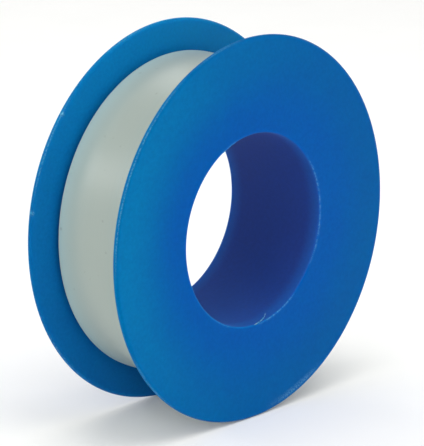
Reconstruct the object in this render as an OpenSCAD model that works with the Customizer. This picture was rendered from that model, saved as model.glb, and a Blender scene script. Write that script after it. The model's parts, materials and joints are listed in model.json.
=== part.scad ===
// Thread seal tape roll: a snap-together plastic spool wound with thin sealing film.
// The spool's axis lies along Y, the front flange faces -Y, and the roll stands on its two rims.
// The origin is on the axis, midway between the flanges' outer faces. Sizes are in millimetres.

/* [Spool] */
// Outer diameter of both flanges
flange_d = 50.8; // [45:0.1:60]
// Thickness of each flange, whose rim is fully rounded
flange_t = 0.8; // [0.6:0.05:2]
// Diameter of the bore through the hub
bore_d = 25.4; // [16:0.1:29]
// Rounding of the bore's two edges
bore_edge = 0.25; // [0.1:0.05:0.4]

/* [Hub] */
// Wall of the inner sleeve, which belongs to the front half
inner_wall = 0.95; // [0.8:0.05:1.6]
// Wall of the outer sleeve, which belongs to the rear half
outer_wall = 0.95; // [0.8:0.05:1.6]
// Radial clearance between the two sleeves
sleeve_gap = 0.05; // [0.03:0.01:0.1]
// Depth of the inner sleeve's end below the rear face
sleeve_recess = 0.1; // [0.05:0.05:0.5]
// Lead-in chamfer on the two sleeve ends that slide together
lead_in = 0.35; // [0.2:0.05:0.5]
// Chamfer round the rear half's hole, where the seam shows on the rear face
seam_edge = 0.15; // [0.05:0.05:0.3]

/* [Snap] */
// Height of the bead that holds the halves together
bead_h = 0.2; // [0.1:0.05:0.4]
// Width of the bead at its foot
bead_w = 1.4; // [1:0.1:2.4]
// Width of the flat on top of the bead
bead_top_w = 0.4; // [0.2:0.1:0.8]
// Distance from the rear face to the middle of the bead
bead_from_rear = 3; // [2:0.1:9]

/* [Tape] */
// Width of the tape
tape_w = 12.7; // [8:0.1:25]
// Thickness of the tape
tape_t = 0.075; // [0.05:0.005:0.1]
// Length of tape on the roll
tape_len = 10000; // [4000:100:14000]
// Clearance between the tape's edges and the flanges
side_gap = 0.8; // [0.2:0.05:1.2]
// Clearance under the first turn and under the last one
wind_gap = 0.02; // [0.01:0.01:0.05]

/* [Loose end] */
// Length of the loose end of the tape
tail_len = 20; // [10:0.5:26]
// How much larger the radius of the loose end is than the roll's, because it lies loosely
tail_slack = 3; // [1.5:0.1:6]
// Angle of the loose end's root, counter-clockwise from the right, seen from the front
tail_root_angle = 75; // [50:1:110]
// Gap between the last turn's end and the loose end
tail_gap = 0.2; // [0.15:0.05:0.4]
// Angle that the last turn leaves bare under the loose end
bare_angle = 20; // [15:1:40]

/* [Hidden] */

spool_blue = [0.04, 0.38, 0.65];
film_white = [0.80, 0.82, 0.79];

// Flat steps in the spiral outline of the last turn
turn_steps = 120;
// Overlap of shapes that are joined, and reach of cutters past a surface
overlap = 0.1;
$fn = 96;

// Faces of the flanges along the spool's axis, which is Z while a piece is drawn
spool_w = tape_w + 2 * (side_gap + flange_t);
front_face = spool_w / 2;
rear_face = -spool_w / 2;
front_inner_face = front_face - flange_t;
bead_z = rear_face + bead_from_rear;

// Radii from the bore outwards; the roll's radius is the one at which the tape's length fits
flange_r = flange_d / 2;
bore_r = bore_d / 2;
inner_sleeve_r = bore_r + inner_wall;
hub_hole_r = inner_sleeve_r + sleeve_gap;
hub_r = hub_hole_r + outer_wall;
first_turn_r = hub_r + wind_gap;
roll_r = sqrt(pow(first_turn_r, 2) + tape_len * tape_t / PI);

// The last turn winds clockwise, seen from the front, and ends at the root of the loose end
turn_angle = 360 - bare_angle;
turn_rise = tape_t * turn_angle / 360;
turn_end_r = roll_r - tape_t;
turn_start_r = turn_end_r - turn_rise;
pack_r = turn_start_r - wind_gap;

// The loose end is an arc that leaves its root along the roll
tail_r = turn_end_r + tail_slack;
tail_centre = (turn_end_r - tail_r) * ray(tail_root_angle);
tail_angle = arc_degrees(tail_len, tail_r);
tail_tip_angle = tail_root_angle - arc_degrees(tail_gap, tail_r) - tail_angle;

// Unit vector at an angle in the plane across the axis
function ray(a) = [cos(a), sin(a)];

// Angle that a length takes up on an arc
function arc_degrees(length, radius) = length / radius * 180 / PI;

// Point on the last turn, raised above its inner face; part is 0 where it starts and 1 where it ends
function turn_point(part, raised) =
    (turn_start_r + turn_rise * part + raised) * ray(tail_root_angle + turn_angle * (1 - part));

turn_inner = [for (i = [0 : turn_steps]) turn_point(i / turn_steps, 0)];
turn_outer = [for (i = [turn_steps : -1 : 0]) turn_point(i / turn_steps, tape_t)];

// The last turn comes nearest to itself across the bare stretch between its two ends
echo(least_gap_of_last_turn_to_itself_mm = norm(turn_inner[turn_steps] - turn_inner[0]));

// Turns a piece drawn along Z onto the spool's axis, with its front towards -Y
module on_axis() {
    rotate([90, 0, 0]) children();
}

// Half profile of a flange from its hole to its rounded rim, with its lower face at z
module flange_profile(hole_r, z) {
    rim_r = flange_t / 2;
    translate([hole_r, z]) square([flange_r - rim_r - hole_r, flange_t]);
    translate([flange_r - rim_r, z + rim_r]) circle(rim_r);
}

// Half profile of the snap bead on a sleeve, or of its groove, which is longer by grow at each end
module bead_profile(foot_r, grow) {
    half_foot = bead_w / 2 + grow;
    half_top = bead_top_w / 2 + grow;
    polygon([
        [foot_r - overlap, bead_z - half_foot],
        [foot_r, bead_z - half_foot],
        [foot_r + bead_h, bead_z - half_top],
        [foot_r + bead_h, bead_z + half_top],
        [foot_r, bead_z + half_foot],
        [foot_r - overlap, bead_z + half_foot],
    ]);
}

// Cutter that rounds the bore's edge at a face; side is 1 at the front and -1 at the rear
module bore_edge_cut(face, side) {
    centre = [bore_r + bore_edge, face - side * bore_edge];
    difference() {
        translate([bore_r - overlap, side > 0 ? centre.y : face - overlap])
            square([bore_edge + overlap, bore_edge + overlap]);
        translate(centre) circle(bore_edge);
    }
}

// Cutter for a 45 degree chamfer at a corner; the signs of in_r and in_z point into the solid
module chamfer_cut(corner_r, corner_z, in_r, in_z) {
    polygon([
        [corner_r + in_r, corner_z],
        [corner_r, corner_z + in_z],
        [corner_r - in_r, corner_z + in_z],
        [corner_r - in_r, corner_z - in_z],
        [corner_r + in_r, corner_z - in_z],
    ]);
}

// Front flange with the sleeve that lines the whole bore and carries the snap bead
module front_spool_half() {
    sleeve_end = rear_face + sleeve_recess;
    color(spool_blue) on_axis() rotate_extrude() difference() {
        union() {
            flange_profile(bore_r, front_inner_face);
            translate([bore_r, sleeve_end]) square([inner_wall, front_face - sleeve_end]);
            bead_profile(inner_sleeve_r, 0);
        }
        bore_edge_cut(front_face, 1);
        bore_edge_cut(sleeve_end, -1);
        chamfer_cut(inner_sleeve_r, sleeve_end, -lead_in, lead_in);
    }
}

// Rear flange with the sleeve that the tape is wound on, which seats on the front flange
module rear_spool_half() {
    color(spool_blue) on_axis() rotate_extrude() difference() {
        union() {
            flange_profile(hub_hole_r, rear_face);
            translate([hub_hole_r, rear_face]) square([outer_wall, front_inner_face - rear_face]);
        }
        bead_profile(hub_hole_r, sleeve_gap);
        chamfer_cut(hub_hole_r, front_inner_face, lead_in, -lead_in);
        chamfer_cut(hub_hole_r, rear_face, seam_edge, seam_edge);
    }
}

// The wound tape under its last turn, as one plain ring on the hub
module tape_pack() {
    color(film_white) on_axis() difference() {
        cylinder(r = pack_r, h = tape_w, center = true);
        cylinder(r = first_turn_r, h = tape_w + 2 * overlap, center = true);
    }
}

// The last turn of the tape: one strip on a spiral that rises by its own thickness in a full turn
module tape_last_turn() {
    color(film_white) on_axis() linear_extrude(tape_w, center = true)
        polygon(concat(turn_inner, turn_outer));
}

// The loose end of the tape, which lifts about its root, where the last turn ends
module tape_tail() {
    color(film_white) on_axis() translate(tail_centre) rotate(tail_tip_angle)
        rotate_extrude(angle = tail_angle)
            translate([tail_r, -tape_w / 2]) square([tape_t, tape_w]);
}

front_spool_half();
rear_spool_half();
tape_pack();
tape_last_turn();
tape_tail();
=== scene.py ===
"""Looks of a thread seal tape roll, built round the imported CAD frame.

The spool's axis is Y, the front flange faces -Y and the roll stands on its two rims. Sizes are in
millimetres until a mesh, a light or the camera is placed, in metres.
"""

import json

import bpy
import numpy as np
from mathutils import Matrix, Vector


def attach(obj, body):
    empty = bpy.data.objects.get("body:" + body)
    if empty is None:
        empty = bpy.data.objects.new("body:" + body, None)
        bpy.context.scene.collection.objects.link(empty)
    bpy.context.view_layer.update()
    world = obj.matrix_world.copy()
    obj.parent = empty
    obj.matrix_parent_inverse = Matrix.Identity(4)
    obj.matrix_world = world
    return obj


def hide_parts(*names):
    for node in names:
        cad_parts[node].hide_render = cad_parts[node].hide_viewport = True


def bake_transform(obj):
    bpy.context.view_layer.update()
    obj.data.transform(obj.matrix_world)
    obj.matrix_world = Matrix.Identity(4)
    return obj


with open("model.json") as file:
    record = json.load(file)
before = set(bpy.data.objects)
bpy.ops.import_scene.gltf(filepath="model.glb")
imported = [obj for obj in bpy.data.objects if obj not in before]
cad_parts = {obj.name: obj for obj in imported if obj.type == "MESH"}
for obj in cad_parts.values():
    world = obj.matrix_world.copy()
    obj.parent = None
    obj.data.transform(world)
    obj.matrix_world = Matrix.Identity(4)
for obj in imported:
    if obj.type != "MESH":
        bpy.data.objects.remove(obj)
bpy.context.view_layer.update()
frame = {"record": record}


# Front half of the spool: a thin flat flange with a rounded rim, in one piece with the sleeve that
# lines the whole bore. It is injection moulded in blue polypropylene, and the low bead near the end of
# the sleeve snaps into the rear half for good. A little flash is left round the bore's front edge.

mounts = {mount["name"]: mount for mount in frame["record"]["mounts"]}
bore_r = mounts["bore"]["dims"]["r_mm"]
front_y = 1000 * mounts["front_face"]["pos_m"][1]
rear_y = 1000 * mounts["rear_face"]["pos_m"][1]
flange_r = 25.4
flange_t = 0.8
front_inner_y = front_y + flange_t
rear_inner_y = rear_y - flange_t
rim_round = flange_t / 2 - 0.01
bore_edge = 0.25
mould_round = 0.05
wall = 0.95
sleeve_gap = 0.05
sleeve_r = bore_r + wall
hub_hole_r = sleeve_r + sleeve_gap
hub_r = hub_hole_r + wall
sleeve_end_y = rear_y - 0.1
lead_in = 0.35
bead_y = rear_y - 3.0
bead_h = 0.2
bead_foot = 0.7
bead_top = 0.2


def unit(vectors):
    """Vectors divided by their own lengths."""
    return vectors / np.linalg.norm(vectors, axis=-1, keepdims=True)


def rounded_outline(corners, spacing=1.2, arc_spacing=0.07):
    """Closed outline in (radius, y) from corners (radius, y, rounding), given clockwise.

    Each corner becomes an arc that touches both its sides: the arc starts and ends rounding / tan(half
    angle) from the corner, and its centre is rounding / sin(half angle) along the bisector. Straights
    longer than the spacing are then divided at (1 - cos(pi t)) / 2 of their length for even steps of t,
    which is finer near the arcs.
    """
    corner = np.array(corners)
    point = corner[:, :2]
    rounding = corner[:, 2]
    to_last = unit(np.roll(point, 1, axis=0) - point)
    to_next = unit(np.roll(point, -1, axis=0) - point)
    half = np.arccos((to_last * to_next).sum(axis=1)) / 2
    centre = point + unit(to_last + to_next) * (rounding / np.sin(half))[:, None]
    start = point + to_last * (rounding / np.tan(half))[:, None] - centre
    end = point + to_next * (rounding / np.tan(half))[:, None] - centre
    sweep = np.pi - 2 * half
    steps = np.maximum(np.ceil(rounding * sweep / arc_spacing), 2).astype(int)
    which = np.repeat(np.arange(len(corner)), steps + 1)
    part = np.concatenate([np.linspace(0, 1, count + 1) for count in steps])
    from_start = np.sin((1 - part) * sweep[which]) / np.sin(sweep[which])
    from_end = np.sin(part * sweep[which]) / np.sin(sweep[which])
    arcs = centre[which] + from_start[:, None] * start[which] + from_end[:, None] * end[which]
    closed = np.vstack([arcs, arcs[:1]])
    length = np.linalg.norm(np.diff(closed, axis=0), axis=1)
    pieces = np.maximum(np.ceil(length / spacing), 1).astype(int)
    side = np.repeat(np.arange(len(arcs)), pieces)
    even = np.concatenate([np.arange(count) / count for count in pieces])
    along = (1 - np.cos(np.pi * even)) / 2
    return closed[side] + along[:, None] * (closed[side + 1] - closed[side])


def turned(outline, angle):
    """Outline points (r, y) carried round the Y axis to (r cos a, y, r sin a): a row for each angle."""
    r, y = outline.T
    return np.stack(np.broadcast_arrays(
        np.cos(angle)[:, None] * r, y, np.sin(angle)[:, None] * r), axis=-1)


def ragged(turns, seed, waves):
    """Sum of cosines with the given numbers of waves a turn and with seeded heights and phases, divided
    by its largest value to stay within -1 to 1."""
    random = np.random.default_rng(seed)
    height = random.uniform(0.3, 1, len(waves))
    phase = random.uniform(0, 2 * np.pi, len(waves))
    total = (height * np.cos(2 * np.pi * np.multiply.outer(turns, waves) + phase)).sum(axis=-1)
    return total / np.abs(total).max()


def ring_faces(rows, columns, open_ends=False):
    """Quads between neighbouring points of a grid: its columns close into rings, and so do its rows,
    unless their ends are open."""
    row, column = np.meshgrid(np.arange(rows - open_ends), np.arange(columns), indexing="ij")
    next_row = (row + 1) % rows
    next_column = (column + 1) % columns
    quads = [
        row * columns + column,
        next_row * columns + column,
        next_row * columns + next_column,
        row * columns + next_column,
    ]
    return np.stack(quads, axis=-1).reshape(-1, 4).tolist()


def add_piece(name, points, faces, material, **point_values):
    """Mesh object at the origin from points in millimetres, smooth except at edges of over 50 degrees,
    with the named values at its points for the material to read."""
    mesh = bpy.data.meshes.new(name)
    mesh.from_pydata((points.reshape(-1, 3) / 1000).tolist(), [], faces)
    for value_name, values in point_values.items():
        attribute = mesh.attributes.new(value_name, "FLOAT", "POINT")
        attribute.data.foreach_set("value", np.broadcast_to(values, points.shape[:-1]).ravel())
    mesh.shade_smooth()
    mesh.set_sharp_from_angle(angle=np.radians(50))
    mesh.materials.append(material)
    piece = bpy.data.objects.new(name, mesh)
    bpy.context.scene.collection.objects.link(piece)
    return piece


def linear(colour):
    """sRGB hex colour as linear RGBA: ((c + 0.055) / 1.055) ** 2.4 in each channel, or c / 12.92 where
    it is very dark."""
    channel = np.array([int(colour[i:i + 2], 16) for i in (1, 3, 5)]) / 255
    value = np.where(channel > 0.04045, ((channel + 0.055) / 1.055) ** 2.4, channel / 12.92)
    return (*value.tolist(), 1.0)


def new_material(name):
    """Material with an empty node tree."""
    material = bpy.data.materials.new(name)
    material.use_nodes = True
    material.node_tree.nodes.clear()
    return material


def add_node(tree, kind, inputs=(), **settings):
    """Adds a node, sets its properties, and gives each listed input its value or its link.

    Inputs are named by their titles or their places. In a Map Range node, 0 is the value, 1 and 2 are
    the range it comes from and 3 and 4 the range it goes to. In a colour Mix node, 0 is the share, 6
    and 7 are the colours and output 2 is their mix; in a plain one, 2 and 3 are the numbers.
    """
    node = tree.nodes.new(kind)
    for name, value in settings.items():
        setattr(node, name, value)
    for socket, value in dict(inputs).items():
        if isinstance(value, bpy.types.NodeSocket):
            tree.links.new(value, node.inputs[socket])
        else:
            node.inputs[socket].default_value = value
    return node


scuff_and_highlight_blue = linear("#86BFD0")
grain_mm = 0.45
scuff_mm = 0.2


def finish_plastic(tree, place, clean_colour, roughness, gloss, gloss_tint):
    """Ends a plastic's tree: its colour times the grain's shade, mixed to a pale blue where the piece's
    wear and painted highlights, times a fine noise, say so, on a shader that lets light scatter inside
    the wall. Grain and scuffs are drawn coarser than real."""
    grain = add_node(tree, "ShaderNodeTexNoise", {
        "Vector": place, "Scale": 1000 / grain_mm, "Detail": 2.0}).outputs[0]
    grain_shade = add_node(tree, "ShaderNodeMapRange", {
        0: grain, 1: 0.3, 2: 0.7, 3: 0.94, 4: 1.06}).outputs[0]
    grained_colour = add_node(tree, "ShaderNodeMix", {
        0: 1.0, 6: clean_colour, 7: grain_shade}, data_type="RGBA", blend_type="MULTIPLY").outputs[2]
    wear = add_node(tree, "ShaderNodeAttribute", attribute_name="wear").outputs["Fac"]
    scuff = add_node(tree, "ShaderNodeTexNoise", {
        "Vector": place, "Scale": 1000 / scuff_mm, "Detail": 2.0}).outputs[0]
    broken = add_node(tree, "ShaderNodeMapRange", {
        0: scuff, 1: 0.4, 2: 0.6, 3: 0.05, 4: 1.0}).outputs[0]
    worn_and_highlight_part = add_node(tree, "ShaderNodeMath", {0: wear, 1: broken}, operation="MULTIPLY").outputs[0]
    colour = add_node(tree, "ShaderNodeMix", {
        0: worn_and_highlight_part, 6: grained_colour, 7: scuff_and_highlight_blue}, data_type="RGBA").outputs[2]
    bump = add_node(tree, "ShaderNodeBump", {
        "Strength": 0.12, "Distance": 0.00004, "Height": grain}).outputs[0]
    shader = add_node(tree, "ShaderNodeBsdfPrincipled", {
        "Base Color": colour, "Roughness": roughness, "Normal": bump, "IOR": 1.49,
        "Specular IOR Level": gloss, "Specular Tint": gloss_tint,
        "Subsurface Weight": 0.9, "Subsurface Radius": (0.3, 1.3, 1.2), "Subsurface Scale": 0.001})
    add_node(tree, "ShaderNodeOutputMaterial", {"Surface": shader.outputs[0]})


# Moulded polypropylene: a satin, slightly see-through blue, deeper near the hub. It is painted lighter
# and greener on a flange's lit side, where light comes through the thin plastic, it has painted shade
# round the very rim, and the mould's fine grain shows faintly.
cloud_mm = 5.0
hub_colour_r = hub_r + 0.35
rim_colour_r = flange_r - 1.9
painted_rim_shade_start_r = flange_r - 0.4
painted_rim_shade_end_r = flange_r - 0.1
face_gloss = 0.04
face_gloss_tint = linear("#7FC0FF")


def flange_plastic(name, hub_blue, rim_blue, thin_blue):
    """Material of a half: one blue at the hub turns to another towards the rim by a smoothstep of the
    radius, and both turn to a third, lighter blue with the painted light at each point, made a little
    uneven by clouds. Painted shade darkens the very rim."""
    material = new_material(name)
    tree = material.node_tree
    place = add_node(tree, "ShaderNodeTexCoord").outputs["Object"]
    across = add_node(tree, "ShaderNodeVectorMath", {
        0: place, 1: (1, 0, 1)}, operation="MULTIPLY").outputs[0]
    radius = add_node(tree, "ShaderNodeVectorMath", {0: across}, operation="LENGTH").outputs["Value"]
    cloud = add_node(tree, "ShaderNodeTexNoise", {
        "Vector": place, "Scale": 1000 / cloud_mm, "Detail": 3.0}).outputs[0]
    # Painted light on the lit side of the flange.
    thin = add_node(tree, "ShaderNodeAttribute", attribute_name="thin").outputs["Fac"]
    thin_cloud = add_node(tree, "ShaderNodeMath", {
        0: cloud, 1: 0.25, 2: thin}, operation="MULTIPLY_ADD").outputs[0]
    thin_part = add_node(tree, "ShaderNodeMath", {
        0: thin_cloud, 1: 0.125}, operation="SUBTRACT", use_clamp=True).outputs[0]
    rim_part = add_node(tree, "ShaderNodeMapRange", {
        0: radius, 1: hub_colour_r / 1000, 2: rim_colour_r / 1000},
        interpolation_type="SMOOTHSTEP").outputs[0]
    base_face_colour = add_node(tree, "ShaderNodeMix", {
        0: rim_part, 6: linear(hub_blue), 7: linear(rim_blue)}, data_type="RGBA").outputs[2]
    face_colour = add_node(tree, "ShaderNodeMix", {
        0: thin_part, 6: base_face_colour, 7: linear(thin_blue)}, data_type="RGBA").outputs[2]
    # Painted shade: the colour darkens round the very rim.
    painted_rim_shade = add_node(tree, "ShaderNodeMapRange", {
        0: radius, 1: painted_rim_shade_start_r / 1000, 2: painted_rim_shade_end_r / 1000, 3: 1.0, 4: 0.78}).outputs[0]
    rim_shaded_colour = add_node(tree, "ShaderNodeMix", {
        0: 1.0, 6: face_colour, 7: painted_rim_shade}, data_type="RGBA", blend_type="MULTIPLY").outputs[2]
    roughness = add_node(tree, "ShaderNodeMapRange", {
        0: cloud, 1: 0.3, 2: 0.7, 3: 0.36, 4: 0.46}).outputs[0]
    finish_plastic(tree, place, rim_shaded_colour, roughness, face_gloss, face_gloss_tint)
    return material


front_plastic = flange_plastic("moulded_polypropylene", "#0055A6", "#00559B", "#0070AA")

# The same polypropylene in the bore, moulded against a rougher core pin: matt. It is painted a darker
# blue for the shade inside the bore, with painted light towards its ends, where light comes in
# through the flanges.
shaded_bore_blue = linear("#063080")
lit_bore_end_blue = linear("#004B9C")
white = linear("#FFFFFF")
bore_dark_y = rear_y - 2.55
bore_light_y = rear_y + 0.05
bore_roughness = 0.8
bore_gloss = 0.35

bore_plastic = new_material("matt_polypropylene_painted_bore_shade")
tree = bore_plastic.node_tree
place = add_node(tree, "ShaderNodeTexCoord").outputs["Object"]
along_bore = add_node(tree, "ShaderNodeSeparateXYZ", {0: place}).outputs["Y"]
from_middle = add_node(tree, "ShaderNodeMath", {0: along_bore}, operation="ABSOLUTE").outputs[0]
# Painted light towards the bore's ends.
painted_end_light = add_node(tree, "ShaderNodeMapRange", {
    0: from_middle, 1: bore_dark_y / 1000, 2: bore_light_y / 1000},
    interpolation_type="SMOOTHSTEP").outputs[0]
# Painted light at the bottom of the bore.
thin = add_node(tree, "ShaderNodeAttribute", attribute_name="thin").outputs["Fac"]
painted_bore_light = add_node(tree, "ShaderNodeMath", {
    0: painted_end_light, 1: thin}, operation="ADD", use_clamp=True).outputs[0]
bore_colour = add_node(tree, "ShaderNodeMix", {
    0: painted_bore_light, 6: shaded_bore_blue, 7: lit_bore_end_blue}, data_type="RGBA").outputs[2]
finish_plastic(tree, place, bore_colour, bore_roughness, bore_gloss, white)

front_corners = [
    (flange_r, front_y, rim_round),
    (bore_r, front_y, bore_edge),
    (bore_r, sleeve_end_y, bore_edge),
    (sleeve_r - lead_in, sleeve_end_y, mould_round),
    (sleeve_r, sleeve_end_y - lead_in, mould_round),
    (sleeve_r, bead_y + bead_foot, mould_round),
    (sleeve_r + bead_h, bead_y + bead_top, mould_round),
    (sleeve_r + bead_h, bead_y - bead_top, mould_round),
    (sleeve_r, bead_y - bead_foot, mould_round),
    (sleeve_r, front_inner_y, mould_round),
    (flange_r, front_inner_y, rim_round),
]
spool_steps = 720
angle = np.linspace(0, 2 * np.pi, spool_steps, endpoint=False)
turns = angle / (2 * np.pi)
flange_wave = np.array([1, 2, 3])
thin_start_r = bore_r + 0.8
thin_end_r = flange_r - 1.9


def bend_flange(grid, seed, rise=0.07):
    """Moves a flange along the axis by a slow wave round it, times the squared way out to the rim."""
    r = np.hypot(grid[..., 0], grid[..., 2])
    way_out = np.clip((r - hub_r) / (flange_r - hub_r), 0, 1)
    grid[..., 1] += rise * ragged(turns, seed, flange_wave)[:, None] * way_out ** 2


def facing(side):
    """1 on the given side of the circle, falling to 0 opposite it as (1 + cos(turn from the side)) / 2.
    Sides are in degrees from +X towards +Z."""
    return (1 + np.cos(angle - np.radians(side))) / 2


def thinness(grid, side):
    """Painted light on a flange, up to 1: a smoothstep of the radius, times 0.1 + 0.9 f squared, where f
    says how far a place faces the lit side."""
    r = np.hypot(grid[..., 0], grid[..., 2])
    way_out = np.clip((r - thin_start_r) / (thin_end_r - thin_start_r), 0, 1)
    return way_out ** 2 * (3 - 2 * way_out) * (0.1 + 0.9 * facing(side)[:, None] ** 2)


def edge_wear(outline, edge_r, edge_y, reach, arcs):
    """Wear and painted highlights on arcs round the axis: 1 at a place on the outline, falling to 0 at
    the reach from it.
    """
    away = np.hypot(outline[:, 0] - edge_r, outline[:, 1] - edge_y)
    return arcs[:, None] * np.clip(1 - away / reach, 0, 1)


def arc_mask(middle, half_width, soft):
    """1 on an arc of the circle, falling to 0 over its soft ends; degrees from +X towards +Z."""
    away = np.abs((np.degrees(angle) - middle + 180) % 360 - 180)
    return np.clip((half_width - away) / soft, 0, 1)


front_outline = rounded_outline(front_corners)
front_grid = turned(front_outline, angle)

# Flash stands out from the bore's front edge on four arcs, as a fine ragged lip.
flash_h = 0.14
flash_w = 0.12
flash_at = np.array([bore_r + 0.16, front_y + 0.02])
flash_arcs = (
    arc_mask(3, 39, 12) + arc_mask(-70, 18, 5) + arc_mask(112, 8, 3) + 0.5 * arc_mask(-118, 9, 4))
flash_ragged = np.clip(0.55 + 0.6 * ragged(turns, 5, np.arange(12, 120)), 0, 1)
flash_across = np.clip(1 - np.linalg.norm(front_outline - flash_at, axis=1) / flash_w, 0, 1)
flash = (flash_arcs * flash_ragged)[:, None] * flash_across
flash_way = np.stack([-np.cos(angle), -np.ones(spool_steps), -np.sin(angle)], axis=-1) / np.sqrt(2)
front_grid += flash_h * flash[..., None] * flash_way[:, None, :]
bend_flange(front_grid, 11)

# Wear follows the rim's shoulder, where the roll is handled, with a painted highlight along it on the
# left, and a long painted highlight low on the right, on the rim's rounding.
shoulder_r = flange_r - 0.06
shoulder_in = 0.19
shoulder_reach = 0.13
highlight_r = flange_r - 0.8
highlight_reach = 0.28
slight_wear = 0.25 * np.clip(2 * ragged(turns, 21, np.arange(1, 9)) - 0.6, 0, 1)
# Wear all round, and on the left a painted highlight along the shoulder.
front_rub_and_highlight = slight_wear + 0.38 * arc_mask(152, 33, 14)
# Painted highlight low on the right, on the rim's rounding.
painted_rim_highlight = arc_mask(-71, 14, 12)
front_wear = (
    0.6 * flash
    + edge_wear(front_outline, shoulder_r, front_y + shoulder_in, shoulder_reach, front_rub_and_highlight)
    + edge_wear(front_outline, highlight_r, front_y, highlight_reach, painted_rim_highlight))

# Painted light: the front flange is painted lighter on its left, where light falls on it, and the
# bottom of the bore lighter, where light comes in from above.
in_bore_edge = front_outline[:, 0] < bore_r + bore_edge
lit_below = 0.55 * facing(-105) ** 6
front_thin = thinness(front_grid, 168) + lit_below[:, None] * in_bore_edge

front_half = add_piece(
    "front_spool_half_moulding", front_grid, ring_faces(*front_grid.shape[:2]), front_plastic,
    wear=front_wear, thin=front_thin)
in_bore = front_outline[:, 0] < bore_r + bore_edge / 3
front_half.data.materials.append(bore_plastic)
front_half.data.polygons.foreach_set("material_index", np.tile(in_bore, spool_steps).astype(np.int32))
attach(front_half, "roll")
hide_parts("front_spool_half")

# A thread of the same flash hangs off the bore's front edge, at the bottom: a tapering tube along a
# cubic curve whose control points are (radius, degrees from +X towards +Z, y).
thread_r = 0.06
thread_steps = 24
thread_sides = 8
thread_control = np.array([
    (bore_r + 0.25, -92.0, front_y + 0.2),
    (bore_r - 0.15, -86.0, front_y - 0.11),
    (bore_r - 0.2, -81.0, front_y - 0.05),
    (bore_r - 0.9, -79.5, front_y),
])
part = np.linspace(0, 1, thread_steps)[:, None]
weight = np.hstack([
    (1 - part) ** 3, 3 * (1 - part) ** 2 * part, 3 * (1 - part) * part ** 2, part ** 3])
thread_out, thread_degrees, thread_y = (weight @ thread_control).T
thread_turn = np.radians(thread_degrees)
thread_path = np.stack(
    [thread_out * np.cos(thread_turn), thread_y, thread_out * np.sin(thread_turn)], axis=-1)
thread_way = unit(np.gradient(thread_path, axis=0))
sideways = unit(np.cross(thread_way, (0.0, 1.0, 0.0)))
upwards = np.cross(sideways, thread_way)
round_angle = np.linspace(0, 2 * np.pi, thread_sides, endpoint=False)[:, None]
ring = np.cos(round_angle) * sideways[:, None] + np.sin(round_angle) * upwards[:, None]
taper = thread_r * (1 - 0.75 * part ** 3)
thread_grid = thread_path[:, None] + taper[:, None] * ring
first_ring = np.arange(thread_sides)
last_ring = first_ring + (thread_steps - 1) * thread_sides
thread_faces = ring_faces(thread_steps, thread_sides, open_ends=True)
thread_faces += [first_ring.tolist(), last_ring[::-1].tolist()]
thread = add_piece(
    "moulding_flash_thread", thread_grid, thread_faces, front_plastic, wear=0.8, thin=0.0)
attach(thread, "roll")


# Rear half of the spool: a flange like the front one, with the sleeve that the tape is wound on. It is
# moulded in the same polypropylene, slides over the front half's sleeve and seats on the front flange.
# A fine ring on its outer face is the seam where the front half's sleeve ends.

groove_foot = bead_foot + sleeve_gap
groove_top = bead_top + sleeve_gap
seam_edge = 0.15
rear_corners = [
    (flange_r, rear_inner_y, rim_round),
    (hub_r, rear_inner_y, mould_round),
    (hub_r, front_inner_y, mould_round),
    (hub_hole_r + lead_in, front_inner_y, mould_round),
    (hub_hole_r, front_inner_y + lead_in, mould_round),
    (hub_hole_r, bead_y - groove_foot, mould_round),
    (hub_hole_r + bead_h, bead_y - groove_top, mould_round),
    (hub_hole_r + bead_h, bead_y + groove_top, mould_round),
    (hub_hole_r, bead_y + groove_foot, mould_round),
    (hub_hole_r, rear_y - seam_edge, mould_round),
    (hub_hole_r + seam_edge, rear_y, mould_round),
    (flange_r, rear_y, rim_round),
]
rear_outline = rounded_outline(rear_corners)
rear_grid = turned(rear_outline, angle)
bend_flange(rear_grid, 12)

# The same polypropylene, painted a little lighter for the light that comes through this flange from
# behind, and lighter still towards its top. Its rim is rubbed like the front one's, with a painted
# highlight on its upper left, and two small nicks show on its left.
rear_plastic = flange_plastic("moulded_polypropylene_lit_through", "#085EA2", "#0A61A1", "#0A7CB8")
# Wear all round, and a painted highlight on the upper left of the rim.
rear_rub_and_highlight = slight_wear + 0.4 * arc_mask(150, 18, 10)
nicks = 0.9 * (arc_mask(170, 0.6, 0.4) + arc_mask(140, 0.6, 0.4))
nick_reach = 0.4
rear_wear = (
    edge_wear(rear_outline, shoulder_r, rear_inner_y + shoulder_in, shoulder_reach, rear_rub_and_highlight)
    + edge_wear(rear_outline, shoulder_r, rear_inner_y + shoulder_in, nick_reach, nicks)
    + edge_wear(rear_outline, shoulder_r, rear_y - shoulder_in, shoulder_reach, slight_wear))

rear_half = add_piece(
    "rear_spool_half_moulding", rear_grid, ring_faces(*rear_grid.shape[:2]), rear_plastic,
    wear=rear_wear, thin=thinness(rear_grid, 95))
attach(rear_half, "roll")
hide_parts("rear_spool_half")


# The wound tape: about ninety turns of one strip of unsintered PTFE film, calendered thin and wound
# tight on the hub. Its edges make fine rings between the flanges, and the outer turn ends in a step of
# the film's own thickness, where the loose end leaves the roll.

tape_half_w = 6.35
tape_t = 0.075
tape_len = 10000.0
first_turn_r = hub_r + 0.02
roll_r = np.sqrt(first_turn_r ** 2 + tape_len * tape_t / np.pi)
root_angle = np.radians(75.0)
film_steps = 480
turn_layers = 24
ridge_h = 0.045
wander_h = 0.05
droop_h = 0.02
droop_w = 0.06
lump_h = 0.02
step_turn = 0.0003
bounce_reach = tape_half_w - 0.55

# Unsintered PTFE film: an off-white, waxy satin. Faint streaks run along the strip, from calendering,
# soft patches show where it was wound tighter or looser, and dust leaves a few grey flecks. Next to the
# flanges it is painted with the blue light that they throw on it. The streaks are drawn coarser than
# real.
film_white = linear("#A1ABA4")
film_shade = linear("#97A29A")
film_by_flange = linear("#A6BBB6")
fleck_grey = linear("#70746E")
streak_mm = 0.35
streak_len_mm = 50.0
patch_mm = 9.0
fleck_mm = 0.8

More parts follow.
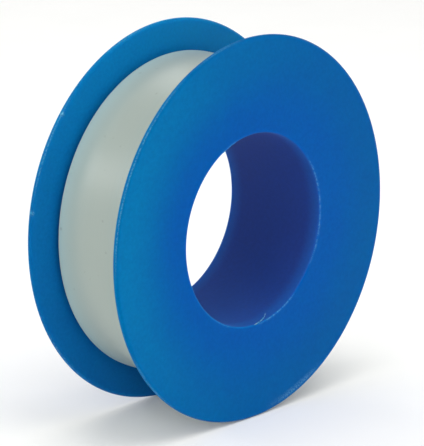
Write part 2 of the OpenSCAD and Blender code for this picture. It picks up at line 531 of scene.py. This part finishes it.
film = new_material("unsintered_ptfe_film")
tree = film.node_tree
strip = add_node(tree, "ShaderNodeUVMap", uv_map="strip").outputs[0]
streak_place = add_node(tree, "ShaderNodeMapping", {
    "Vector": strip, "Scale": (1 / streak_len_mm, 1 / streak_mm, 1)}).outputs[0]
streak = add_node(tree, "ShaderNodeTexNoise", {
    "Vector": streak_place, "Scale": 1.0, "Detail": 3.0}).outputs[0]
patch = add_node(tree, "ShaderNodeTexNoise", {
    "Vector": strip, "Scale": 1 / patch_mm, "Detail": 0.0}).outputs[0]
fleck = add_node(tree, "ShaderNodeTexNoise", {
    "Vector": strip, "Scale": 1 / fleck_mm, "Detail": 0.0}).outputs[0]
shade = add_node(tree, "ShaderNodeMix", {0: 0.7, 2: streak, 3: patch}).outputs[0]
plain_colour = add_node(tree, "ShaderNodeMix", {
    0: shade, 6: film_shade, 7: film_white}, data_type="RGBA").outputs[2]
# Painted light: next to the flanges the film turns to the blue light they throw on it.
by_flange = add_node(tree, "ShaderNodeAttribute", attribute_name="by_flange").outputs["Fac"]
bounced_colour = add_node(tree, "ShaderNodeMix", {
    0: by_flange, 6: plain_colour, 7: film_by_flange}, data_type="RGBA").outputs[2]
fleck_part = add_node(tree, "ShaderNodeMapRange", {
    0: fleck, 1: 0.79, 2: 0.92, 3: 0.0, 4: 0.4}).outputs[0]
colour = add_node(tree, "ShaderNodeMix", {
    0: fleck_part, 6: bounced_colour, 7: fleck_grey}, data_type="RGBA").outputs[2]
roughness = add_node(tree, "ShaderNodeMapRange", {0: patch, 3: 0.29, 4: 0.37}).outputs[0]
bump = add_node(tree, "ShaderNodeBump", {
    "Strength": 0.02, "Distance": 0.00002, "Height": streak}).outputs[0]
shader = add_node(tree, "ShaderNodeBsdfPrincipled", {
    "Base Color": colour, "Roughness": roughness, "Normal": bump, "IOR": 1.38,
    "Subsurface Weight": 0.2, "Subsurface Radius": (1.0, 1.0, 1.0), "Subsurface Scale": 0.0005})
add_node(tree, "ShaderNodeOutputMaterial", {"Surface": shader.outputs[0]})


def lay_strip(piece, along, over):
    """Gives each face corner of a piece its place on the strip: millimetres along it and across it."""
    mesh = piece.data
    corner_point = np.empty(len(mesh.loops), dtype=int)
    mesh.loops.foreach_get("vertex_index", corner_point)
    strip_map = np.stack(np.broadcast_arrays(along, over), axis=-1).reshape(-1, 2)
    mesh.uv_layers.new(name="strip").data.foreach_set("uv", strip_map[corner_point].ravel())


def flange_bounce_share(y):
    """How much painted blue light from the flanges a place on the film gets: the third power of
    |y| / reach, up to 1.
    """
    return np.clip(np.abs(y / bounce_reach) ** 3, 0, 1)


# The section runs over the outer face, down the front side, through the hub's face and up the rear
# side. It is carried once round the axis while its outer face comes down by the film's thickness.
wound = np.linspace(0, 1 - step_turn, film_steps)
wound_angle = root_angle + 2 * np.pi * wound
outer_w = np.linspace(1, -1, 41)
inner_w = np.linspace(-1, 1, 5)
side_part = np.linspace(0, 1, 2 * turn_layers + 1)[1:-1]
ridge = ridge_h * (np.arange(side_part.size) % 2)
front_wander = wander_h * ragged(side_part, 31, np.arange(1, 12))
rear_wander = wander_h * ragged(side_part, 32, np.arange(1, 12))
edge_droop = droop_h * np.clip((np.abs(outer_w) - 1 + droop_w) / droop_w, 0, 1) ** 2
section_depth = np.concatenate([0 * outer_w, side_part, 1 + 0 * inner_w, side_part[::-1]])
section_drop = np.concatenate([edge_droop, np.zeros(2 * side_part.size + inner_w.size)])
section_y = np.concatenate([
    tape_half_w * outer_w,
    -tape_half_w - ridge - front_wander,
    tape_half_w * inner_w,
    (tape_half_w + ridge + rear_wander)[::-1],
])
lumps = lump_h * ragged(wound, 33, np.arange(2, 9))
outer_r = roll_r - tape_t * wound + lumps
section_r = outer_r[:, None] * (1 - section_depth) + first_turn_r * section_depth - section_drop
film_x = np.cos(wound_angle)[:, None] * section_r
film_z = np.sin(wound_angle)[:, None] * section_r
film_grid = np.stack(np.broadcast_arrays(film_x, section_y, film_z), axis=-1)

# Down the sides, the strip map runs on with the depth, so that the rings of edges aren't all alike.
side_shift_mm = 10.0
wound_tape = add_piece(
    "wound_tape", film_grid, ring_faces(*film_grid.shape[:2]), film, by_flange=flange_bounce_share(section_y))
lay_strip(wound_tape, wound[:, None] * 2 * np.pi * roll_r, section_y - side_shift_mm * section_depth)
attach(wound_tape, "roll")
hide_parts("tape_pack", "tape_last_turn")


# Loose end of the tape: the last 20 mm of the same strip, lying lightly over the roll on a larger arc.
# The film is soft and takes a set where it was handled, and its end was torn, so it isn't straight.

tail_len = 20.0
tail_slack = 3.0
tail_gap = 0.02
tail_steps = 160
tear_depth = 0.45
tear_period = 2.3
tear_bow = 0.5
wave_h = 0.16
wave_count = 1.6
wave_skew = 0.08
cup_h = 0.12
tail_r = roll_r - tape_t + tail_slack
tail_centre = -tail_slack * np.array([np.cos(root_angle), np.sin(root_angle)])

tail_w = np.linspace(-1, 1, 49)
torn = tear_depth * ragged(tail_w / tear_period, 41, np.arange(1, 14)) - tear_bow * tail_w ** 2
tail_part = np.linspace(0, 1, tail_steps)[:, None]
run = tail_gap + tail_part * (tail_len - tail_gap + tail_part ** 3 * torn)
wave_turns = wave_count * tail_part + wave_skew * tail_w
set_wave = wave_h * tail_part ** 2 * np.sin(2 * np.pi * wave_turns)
cupping = cup_h * tail_part ** 2 * tail_w ** 2
tail_angle = root_angle - run / tail_r


def tail_layer(raised):
    """Points of the tail at a height over its inner face: an arc about its own centre, with its set."""
    r = tail_r + raised + set_wave + cupping
    x = tail_centre[0] + r * np.cos(tail_angle)
    z = tail_centre[1] + r * np.sin(tail_angle)
    return np.stack(np.broadcast_arrays(x, tape_half_w * tail_w, z), axis=-1)


tail_grid = np.concatenate([tail_layer(tape_t), tail_layer(0.0)[:, ::-1]], axis=1)
rows, columns = tail_grid.shape[:2]
over = np.arange(columns // 2 - 1)
root_cap = np.stack([over, over + 1, columns - 2 - over, columns - 1 - over], axis=-1)
tip_cap = (root_cap + (rows - 1) * columns)[:, ::-1]
tail_faces = ring_faces(rows, columns, open_ends=True) + root_cap.tolist() + tip_cap.tolist()
# Painted blue light from the flanges, fading along the loose end as it leaves them.
tail_flange_bounce = flange_bounce_share(tail_grid[..., 1]) * (1 - tail_part)
loose_end = add_piece("loose_tape_end", tail_grid, tail_faces, film, by_flange=tail_flange_bounce)
lay_strip(loose_end, -np.concatenate([run, run[:, ::-1]], axis=1), tail_grid[..., 1])
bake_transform(loose_end)
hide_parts("tape_tail")


# Studio: the roll stands on a plain pale paper floor, in soft light from above and the left, with weak
# fills from the front and the right. Two small lights behind make the sheen on the film. The camera has
# the photograph's viewing angle and distance.

floor_colour = linear("#F9F9F7")
floor_shade = linear("#F5F5F3")
floor_half = 3000.0
fibre_mm = 12.0

# Matt paper: almost white, with soft clouds of fibre, and lightened a little to stay pale.
paper = new_material("matt_paper")
tree = paper.node_tree
place = add_node(tree, "ShaderNodeTexCoord").outputs["Object"]
fibre = add_node(tree, "ShaderNodeTexNoise", {
    "Vector": place, "Scale": 1000 / fibre_mm, "Detail": 4.0}).outputs[0]
colour = add_node(tree, "ShaderNodeMix", {
    0: fibre, 6: floor_shade, 7: floor_colour}, data_type="RGBA").outputs[2]
shader = add_node(tree, "ShaderNodeBsdfPrincipled", {
    "Base Color": colour, "Roughness": 0.9, "Emission Color": white, "Emission Strength": 0.06})
add_node(tree, "ShaderNodeOutputMaterial", {"Surface": shader.outputs[0]})
floor_x, floor_y = np.meshgrid([-floor_half, floor_half], [-floor_half, floor_half])
floor_grid = np.stack([floor_x, floor_y, np.full((2, 2), -flange_r)], axis=-1)
floor = add_piece("floor", floor_grid, [[0, 1, 3, 2]], paper)

world = bpy.data.worlds.new("studio")
world.use_nodes = True
background = world.node_tree.nodes["Background"]
background.inputs["Color"].default_value = white
background.inputs["Strength"].default_value = 0.476
bpy.context.scene.world = world


def add_softbox(name, place, width, length, watts):
    """Rectangular area light, placed in metres and facing the roll, that the camera doesn't see."""
    light = bpy.data.lights.new(name, "AREA")
    light.shape = "RECTANGLE"
    light.size = width
    light.size_y = length
    light.energy = watts
    softbox = bpy.data.objects.new(name, light)
    softbox.location = place
    softbox.rotation_euler = (-Vector(place)).to_track_quat("-Z", "Y").to_euler()
    softbox.visible_camera = False
    bpy.context.scene.collection.objects.link(softbox)


add_softbox("top_softbox", (-0.05, 0.05, 0.65), 0.5, 0.5, 1.13)
add_softbox("top_front_softbox", (0.0, -0.25, 0.6), 0.4, 0.4, 1.0)
add_softbox("left_softbox", (-0.5, -0.15, 0.25), 0.4, 0.4, 0.94)
add_softbox("right_fill", (0.45, -0.3, 0.3), 0.4, 0.4, 0.51)
add_softbox("front_fill", (-0.3, -0.45, 0.1), 0.3, 0.3, 0.51)
add_softbox("back_left_softbox", (-0.284, 0.295, 0.187), 0.12, 0.12, 0.26)
add_softbox("back_right_softbox", (0.166, 0.295, 0.297), 0.14, 0.14, 0.15)

azimuth = np.radians(-47.15)
elevation = np.radians(15.49)
distance = 420.5
aim_right = -5.19
aim_up = 0.84
back = Vector((
    np.sin(azimuth) * np.cos(elevation), -np.cos(azimuth) * np.cos(elevation), np.sin(elevation)))
right = Vector((np.cos(azimuth), np.sin(azimuth), 0))
up = back.cross(right)
aim = Vector((0, front_y + flange_t / 2, 0)) + aim_right * right + aim_up * up
lens = bpy.data.cameras.new("camera")
lens.lens = 263.7
lens.sensor_width = 36.0
camera = bpy.data.objects.new("camera", lens)
camera.location = (aim + distance * back) / 1000
camera.rotation_euler = back.to_track_quat("Z", "Y").to_euler()
bpy.context.scene.collection.objects.link(camera)
bpy.context.scene.camera = camera
bpy.context.scene.view_settings.view_transform = "Standard"
